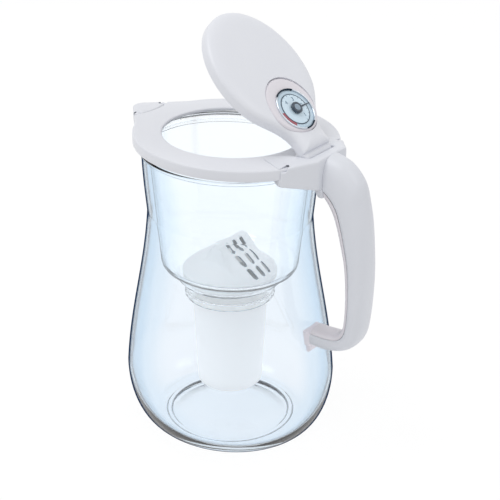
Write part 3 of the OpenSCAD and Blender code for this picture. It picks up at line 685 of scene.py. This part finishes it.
def lid_half_edge(share, inset):
    """Half of the lid's outline, drawn in by an inset: from its hinge end to its tip, with y positive."""
    neck = neck_half - inset
    end = -2 - 0.7 * inset
    if share < 0.08:
        return (end, neck * share / 0.08)
    if share < 0.14:
        return (end + (-14 - end) * (share - 0.08) / 0.06, neck)
    v0 = radians(118)
    if share < 0.36:
        u = (share - 0.14) / 0.22
        p = Vector((-14, neck)) * (2 * u ** 3 - 3 * u ** 2 + 1)
        p += Vector((-50, 12)) * (u ** 3 - 2 * u ** 2 + u)
        start = Vector((-round_x - (lid_round - inset) * cos(v0), (lid_half - inset) * sin(v0)))
        p += start * (3 * u ** 2 - 2 * u ** 3)
        p += Vector((-49, 25)) * (u ** 3 - u ** 2)
        return (p.x, p.y)
    v = v0 * (1 - (share - 0.36) / 0.64)
    return (-round_x - (lid_round - inset) * cos(v), (lid_half - inset) * sin(v))


def lid_point(turn, level):
    """Level is the inset in mm, then a scale about the lid's middle, and the height."""
    inset, scale, h = level
    x, y = lid_half_edge(2 * turn if turn <= 0.5 else 2 * (1 - turn), inset)
    return on_lid(scale * (x + lid_mid) - lid_mid, scale * (y if turn <= 0.5 else -y), h)


# From the middle of the inside, over the rim and the bevelled band, to the middle of the plateau
lid_levels = [(12.5, s, 8.9 + 0.7 * (1 - s * s)) for s in (0.04, 0.35, 0.65, 0.9)]
lid_levels += [(12.5, 1, 8.9), (8.6, 1, 8.65), (5, 1, 7.9), (3.4, 1, 6.8), (2.6, 1, 5.2), (2.5, 1, 2),
               (2.4, 1, 0.4), (2.0, 1, 0), (0.6, 1, 0), (0.1, 1, 0.15), (0, 1, 0.6), (0, 1, 3.4), (0, 1, 6.3),
               (0.12, 1, 7.0),
               (0.5, 1, 7.8), (1.1, 1, 8.5), (2, 1, 9.15), (3.2, 1, 9.75), (4.6, 1, 10.25), (6.4, 1, 10.7),
               (8.8, 1, 11.1), (12.5, 1, 11.4)]
lid_levels += [(12.5, s, 11.4 + 0.6 * (1 - s * s)) for s in (0.9, 0.78, 0.65, 0.5, 0.35, 0.2, 0.04)]
lid = as_object("lid_dome", loft(lid_point, lid_levels, 240))


def on_dial(x, y, h):
    """Point in mm of the dial's own frame."""
    return on_lid(x - dial_t, y, h)


def turned(name, profile, segments=128):
    """A round piece about the dial's axis from radius, height and, where a ring lies off it, a shift."""
    def point(turn, level):
        r = level[0]
        away = level[2] if len(level) > 2 else 0
        return on_dial(r * cos(2 * pi * turn) - away, r * sin(2 * pi * turn), level[1])
    return as_object(name, loft(point, profile, segments))


housing_shift = 4.5
cut(lid, turned("dial_cutter", [(25.25, -3, housing_shift), (25.25, 20, housing_shift)]))
barrel = as_object("lid_barrel", loft(
    lambda t, p: hinge + Vector((p[0] * cos(2 * pi * t), p[1], p[0] * sin(2 * pi * t))),
    [(2.3, -16), (2.3, -16.9), (5, -16.9), (6.2, -16.5), (6.8, -15.7), (7, -14.6), (7, 14.6), (6.8, 15.7),
     (6.2, 16.5), (5, 16.9), (2.3, 16.9), (2.3, 16), (2.3, -16)], 96))
dress(lid, lid_abs, "lid_unit", "lid_white", "lid_shell", crease=38)
dress(barrel, lid_abs, "lid_unit", "lid_white", crease=40)
liner = merged_copy("lid_inner_panel", "lid_liner")
dress(liner, liner_abs, "lid_unit", "liner_white", "lid_liner")


# ---- Counter ----

drum = [(0.5, 2.1), (24.6, 2.1), (25, 2.5), (25, 9.8), (24.9, 10.3), (24.5, 10.8), (23.8, 11.3), (23, 11.55),
        (22.2, 11.6)]
well = [(18.1, 11.6), (17.45, 11.55), (17.4, 11.4), (17.4, 10.55), (17, 10.5), (14.2, 10.5), (14.2, 3.9),
        (13.8, 3.8), (0.5, 3.8)]
housing = turned("counter_drum", [(r, h, housing_shift) for r, h in drum] + well, 160)
dress(housing, counter_abs, "lid_unit", "lid_white", "counter_housing", crease=40)
bezel = turned("dial_bezel", [
    (17.3, 11.6), (18.5, 11.6), (18.6, 11.8), (18.58, 12.3), (18.4, 12.75), (18.1, 12.98), (17.8, 13),
    (17.5, 12.85), (17.35, 12.4), (17.3, 11.6)], 160)
dress(bezel, chrome, "lid_unit", "bezel_chrome", "counter_bezel", crease=60)
bezel.data.materials.append(bezel_painted_reflection)
# Two stretches of the bezel take the painted dark reflection
dial_middle = on_dial(0, 0, 0)
for face in bezel.data.polygons:
    spot = lid_turn.inverted() @ (face.center * 1000 - dial_middle)
    angle = degrees(atan2(spot.y, spot.x)) % 360
    if 148 < angle < 218 or angle < 33 or angle > 350:
        face.material_index = 1
face = turned("dial_step", [
    (2.0, 10.7), (13.0, 10.7), (13.15, 10.9), (13.15, 11.7), (13.05, 11.93), (12.75, 12.0), (11, 12.06),
    (6, 12.0), (2.0, 11.95)])
dress(face, dial_blue, "lid_unit", "dial_face", "counter_face", crease=40)
line = turned("dial_step_line", [
    (13.1, 11.65), (13.15, 11.98), (13.45, 12.1), (13.75, 11.98), (13.8, 11.65), (13.1, 11.65)])
dress(line, step_line_dark, "lid_unit", "dial_face", crease=60)
track = turned("dial_track", [
    (13.3, 10.7), (17.1, 10.7), (17.25, 10.9), (17.25, 11.5), (17.0, 11.6), (13.6, 11.6), (13.3, 11.45),
    (13.3, 10.7)])
dress(track, dial_ring_blue, "lid_unit", "dial_face", crease=40)


def arc_plate(name, r0, r1, from_deg, to_deg, h0, h1, material, slot, *stands_for):
    """Flat piece of a ring between two angles of the dial."""
    def point(turn, level):
        inset, h = level
        u = turn * 2 if turn < 0.5 else 2 - turn * 2
        r = r1 - inset if turn < 0.5 else r0 + inset
        v = radians(from_deg + (to_deg - from_deg) * u)
        return on_dial(r * cos(v), r * sin(v), h)
    plate = as_object(name, loft(point, [(0, h0), (0, h1 - 0.08), (0.08, h1)], 64))
    return dress(plate, material, "lid_unit", slot, *stands_for)


arc_plate("red_sector", 13.7, 17.2, -94, -38, 11.55, 11.85, dial_red, "dial_red", "counter_red_sector")
for k in range(12):
    v = 20 + 18 * k
    arc_plate(f"tick_{k}", 11.4 if k % 3 == 0 else 12.0, 12.8, v - 0.8, v + 0.8, 12.0, 12.1, ink, "dial_face")


def numeral(text, angle, radius, size):
    """Raised printed digit on the dial's step, read from the dial's middle outwards."""
    curve = bpy.data.curves.new("digit_" + text, "FONT")
    curve.body = text
    curve.size = size / 1000
    curve.extrude = 0.00004
    curve.align_x = "CENTER"
    curve.align_y = "CENTER"
    made = bpy.data.objects.new("digit_" + text, curve)
    scene.collection.objects.link(made)
    graph = bpy.context.evaluated_depsgraph_get()
    mesh = bpy.data.meshes.new_from_object(made.evaluated_get(graph))
    bpy.data.objects.remove(made)
    v = radians(angle)
    middle = on_dial(radius * cos(v), radius * sin(v), 12.07) / 1000
    mesh.transform(Matrix.Translation(middle) @ lid_turn.to_4x4() @ Matrix.Rotation(radians(90), 4, "Z"))
    digit = bpy.data.objects.new("digit_" + text, mesh)
    scene.collection.objects.link(digit)
    return dress(digit, ink, "lid_unit", "dial_face")


for text, angle in (("1", 35), ("2", 95), ("3", 155), ("4", 215)):
    numeral(text, angle, 9.0, 4.8)


def pointer_edge(turn, level):
    """A round boss with a thin needle towards +Y."""
    inset, h = level
    v = 2 * pi * turn + pi / 2
    near = min(turn, 1 - turn)
    r = 4.5 - inset
    if near < 0.03:
        y = 16.9 if near < 0.004 else 16.9 - 12.6 * (near - 0.004) / 0.026
        x = (0.3 + 0.4 * (near / 0.03)) * (-1 if turn < 0.5 else 1)
        return on_dial(x, y, h)
    return on_dial(r * cos(v), r * sin(v), h)


needle = as_object("dial_pointer", loft(pointer_edge, [(0, 12.3), (0, 12.7), (0.08, 12.8)], 200))
dress(needle, navy, "counter_rotor", "pointer_dark", "counter_pointer", crease=30)
knob = turned("dial_knob", [
    (1.9, 12.85), (4.8, 12.85), (5, 13.1), (5, 14.2), (4.8, 14.7), (4.3, 15.05), (3.6, 15.1), (3.2, 14.9),
    (3.0, 14.5), (1.9, 14.45)], 96)
dress(knob, navy, "counter_rotor", "knob_dark", "counter_knob", crease=50)
hub = turned("knob_inlay", [
    (0.3, 14.5), (2.95, 14.5), (2.95, 14.75), (2.7, 14.95), (1.5, 15.05), (0.3, 15.08)], 64)
dress(hub, hub_grey, "counter_rotor", "knob_dark", crease=50)


# ---- Handle and hood ----

hood_end = 102
grip_foot_z = 114.5
grip_x = 128.7
grip_power = 0.77
grip_wall = 2.4
foot_x = jug_half(100, outer_base) + 0.6 + 3
grip_stations = [
    ((hood_end, 278.5), (hood_end, 240), 1),
    ((hood_end + 15, 274), (hood_end + 4, 234), 1),
    ((grip_x + 1, 261), (hood_end + 7.2, 227.5), 1),
    ((grip_x + 6.5, 244), (hood_end + 10.6, 218), 0.8),
    ((grip_x + 10, 227), (hood_end + 14, 206), 0.5),
    ((grip_x + 13, 197), (grip_x - 8.3, 188), 0),
    ((grip_x + 13.6, grip_foot_z + 60), (grip_x - 6.3, grip_foot_z + 52), -0.3),
    ((grip_x + 12.2, grip_foot_z + 32), (grip_x - 6, grip_foot_z + 30), -0.5),
    ((grip_x + 8.5, grip_foot_z + 12), (grip_x - 8.2, grip_foot_z + 16), -0.8),
    ((grip_x - 2, grip_foot_z - 1), (grip_x - 14.5, grip_foot_z + 9.5), -1.2),
    ((grip_x - 20, grip_foot_z - 8), (grip_x - 27, grip_foot_z + 8.2), -1.8),
    ((foot_x, grip_foot_z - 8.5), (foot_x, grip_foot_z + 8), -2)]


def between(a, b, c, d, u):
    """Smooth value between b and c at a share of the way."""
    return (2 * b + (c - a) * u + (2 * a - 5 * b + 4 * c - d) * u * u + (3 * b - a - 3 * c + d) * u ** 3) / 2


def grip_at(share):
    """Outer point, inner point and half width of the handle at a share of its way down."""
    last = len(grip_stations) - 1
    i = min(int(share * last), last - 1)
    u = share * last - i
    row = [grip_stations[min(max(k, 0), last)] for k in (i - 1, i, i + 1, i + 2)]
    outer = Vector([between(*[g[0][c] for g in row], u) for c in (0, 1)])
    inner = Vector([between(*[g[1][c] for g in row], u) for c in (0, 1)])
    return outer, inner, 12.5 + between(*[g[2] for g in row], u)


def grip_section(h, w, v):
    c, s = cos(v), sin(v)
    return (h * (1 if c > 0 else -1) * abs(c) ** grip_power, w * (1 if s > 0 else -1) * abs(s) ** grip_power)


def lip(u, h):
    """Angle at which a section of half depth h lies u below its middle."""
    return acos(max(-1, -(u / h) ** (1 / grip_power)))


def grip_point(share, u, v):
    outer, inner, _ = grip_at(share)
    middle = (outer + inner) / 2
    along = (outer - inner).normalized()
    p = middle + along * u
    return (p.x, v, p.y)


def shell_point(turn, share):
    """Outer part of the handle: a C open towards the jug, its lips rounded into the groove."""
    outer, inner, wide = grip_at(share)
    h = (outer - inner).length / 2
    edge = lip(h / 2, h)
    if turn < 0.62:
        k = 1 - 2 * turn / 0.62
        drop = 0.7 * exp(-((1 - abs(k)) * edge / radians(7)) ** 2)
        u, v = grip_section(h - drop, wide - drop, k * edge)
    else:
        k = 2 * (turn - 0.62) / 0.38 - 1
        u, v = grip_section(h - grip_wall, wide - grip_wall, k * lip(h / 2, h - grip_wall))
    return grip_point(share, u, v)


def inner_point(turn, share):
    """Inner cover of the handle, which closes the C."""
    outer, inner, wide = grip_at(share)
    h = (outer - inner).length / 2
    edge = lip(h / 2 + 0.25, h)
    if turn < 0.6:
        k = 1 - 2 * turn / 0.6
        drop = 0.7 * exp(-((1 - abs(k)) * (pi - edge) / radians(7)) ** 2)
        u, v = grip_section(h - drop, wide - drop, pi + k * (pi - edge))
    else:
        k = 2 * (turn - 0.6) / 0.4 - 1
        far = pi - lip(h / 2 + 0.25, h - grip_wall)
        u, v = grip_section(h - grip_wall, wide - grip_wall, pi + k * far)
    return grip_point(share, u, v)


grip_shares = [k / 88 for k in range(89)]
shell = as_object("handle_outer", loft(shell_point, grip_shares, 96))
dress(shell, handle_abs, "cover_unit", "handle_white", "handle_shell", crease=45)
inner_cover = as_object("handle_inner", loft(inner_point, grip_shares, 72))
dress(inner_cover, inner_abs, "cover_unit", "inner_white", "handle_inner_cover", crease=45)
hood = softened("hinge_hood", "handle_hood", 0.7, 16)
# The hood's lower corner is trimmed level
cut(hood, block("hood_tip_cutter", (hood_end - 9, -30, 230), (hood_end + 10, 30, 245)))
dress(hood, handle_abs, "cover_unit", "handle_white", "handle_hood", crease=80)
pad = softened("handle_foot", "handle_foot_pad", 0.5, 4)
# So is the pad's top, which leaves it no higher than the handle's end
cut(pad, block("pad_top_cutter", (foot_x - 30, -30, grip_foot_z + 4.5), (foot_x + 0.1, 30, grip_foot_z + 20)))
dress(pad, foot_abs, "cover_unit", "foot_grey", "handle_foot_pad", crease=80)
lip_plate = as_object("spout_floor", loft(spout_floor_point, [
    (0.6, 262), (0.1, 262.1), (0, 262.5), (0, 264.0), (0.1, 264.4), (0.6, 264.5)], 160))
dress(lip_plate, cover_abs, "cover_unit", "cover_white", crease=40)


def flap_lug(side):
    """Lug that holds one of the flap's pins, drawn out towards the mouth."""
    def point(turn, level):
        r, y = level
        c = cos(2 * pi * turn)
        return (-flap_x + r * c * (1 if c < 0 else 3), side * y, 271 + r * sin(2 * pi * turn))
    return loft(point, [(1.6, 15.0), (2, 15.4), (2, 17.6), (1.6, 18)], 48)


for k, side in enumerate((-1, 1)):
    lug = as_object(f"flap_lug_{k}", flap_lug(side))
    dress(lug, cover_abs, "cover_unit", "cover_white", crease=40)


# ---- Pieces whose own shape is right ----

for name, material in (("cartridge_seal", seal_rubber), ("filter_media", media), ("media_screens", screen),
                       ("handle_screws", steel), ("lid_hinge_pin", steel), ("counter_shaft", steel),
                       ("ratchet_wheel", acetal), ("ratchet_pawl", acetal), ("pawl_pin", steel)):
    for place in cad[name].material_slots:
        place.material = material


# ---- Floor, light and camera ----

def seen_share(tree, unseen, seen):
    """One value for what is seen directly, by gloss or through clear plastic, and another for the rest."""
    path = node(tree, "ShaderNodeLightPath")
    glossy = node(tree, "ShaderNodeMath", {"operation": "MAXIMUM"}, {
        0: path.outputs["Is Camera Ray"], 1: path.outputs["Is Glossy Ray"]})
    clear = node(tree, "ShaderNodeMath", {"operation": "MAXIMUM"}, {
        0: glossy.outputs[0], 1: path.outputs["Is Transmission Ray"]})
    share = node(tree, "ShaderNodeMapRange", {}, {"Value": clear.outputs[0]})
    share.inputs["To Min"].default_value = unseen
    share.inputs["To Max"].default_value = seen
    return share.outputs["Result"]


def floor_material():
    """Pale studio floor: nearly even white to the eye, yet dark enough under the foot to keep a shadow."""
    material, tree, output, _ = blank_material("studio_floor")
    paper = node(tree, "ShaderNodeBsdfDiffuse", {}, {"Color": tone("#f4f4f4")})
    glow = node(tree, "ShaderNodeEmission", {}, {"Color": (1, 1, 1, 1), "Strength": 1.05})
    mix = node(tree, "ShaderNodeMixShader", {}, {
        0: seen_share(tree, 0.0, 0.86), 1: paper.outputs[0], 2: glow.outputs[0]})
    tree.links.new(mix.outputs[0], output.inputs["Surface"])
    return material


bm = bmesh.new()
bmesh.ops.create_grid(bm, x_segments=8, y_segments=8, size=3)
floor = as_object("studio_floor", bm)
floor.data.materials.append(floor_material())

world = bpy.data.worlds.new("studio")
scene.world = world
world.use_nodes = True
tree = world.node_tree
tree.nodes.clear()
output = tree.nodes.new("ShaderNodeOutputWorld")
sky = node(tree, "ShaderNodeBackground", {}, {"Color": (1, 1, 1, 1), "Strength": seen_share(tree, 0.68, 1.0)})
tree.links.new(sky.outputs[0], output.inputs["Surface"])


def soft_lamp(name, place, aim, size, watts):
    """White disc lamp turned towards a point."""
    data = bpy.data.lights.new(name, "AREA")
    data.shape = "DISK"
    data.size = size
    data.energy = watts
    lamp = bpy.data.objects.new(name, data)
    scene.collection.objects.link(lamp)
    lamp.location = place
    lamp.rotation_euler = (Vector(aim) - Vector(place)).to_track_quat("-Z", "Y").to_euler()


soft_lamp("key_lamp", (-0.5, -0.7, 2.0), (0, 0, 0.2), 1.4, 11)
soft_lamp("rim_lamp", (1.2, 0.4, 1.3), (0, 0, 0.25), 0.8, 2)

turn_az, turn_el, roll = radians(37.5), radians(26.4), radians(0.45)
back = Vector((sin(turn_az) * cos(turn_el), -cos(turn_az) * cos(turn_el), sin(turn_el)))
right = Vector((cos(turn_az), sin(turn_az), 0))
up = back.cross(right)
tilted_right = right * cos(roll) + up * sin(roll)
tilted_up = up * cos(roll) - right * sin(roll)
eye = Vector((0.0216, 0, 0.1705)) + back * 1.06
camera_data = bpy.data.cameras.new("camera")
camera_data.lens = 90.2
camera_data.sensor_width = 36
camera_data.clip_start = 0.05
camera = bpy.data.objects.new("camera", camera_data)
scene.collection.objects.link(camera)
camera.matrix_world = Matrix((
    (tilted_right.x, tilted_up.x, back.x, eye.x),
    (tilted_right.y, tilted_up.y, back.y, eye.y),
    (tilted_right.z, tilted_up.z, back.z, eye.z),
    (0, 0, 0, 1)))
scene.camera = camera
scene.view_settings.view_transform = "Standard"
scene.cycles.transmission_bounces = 24
scene.cycles.max_bounces = 28
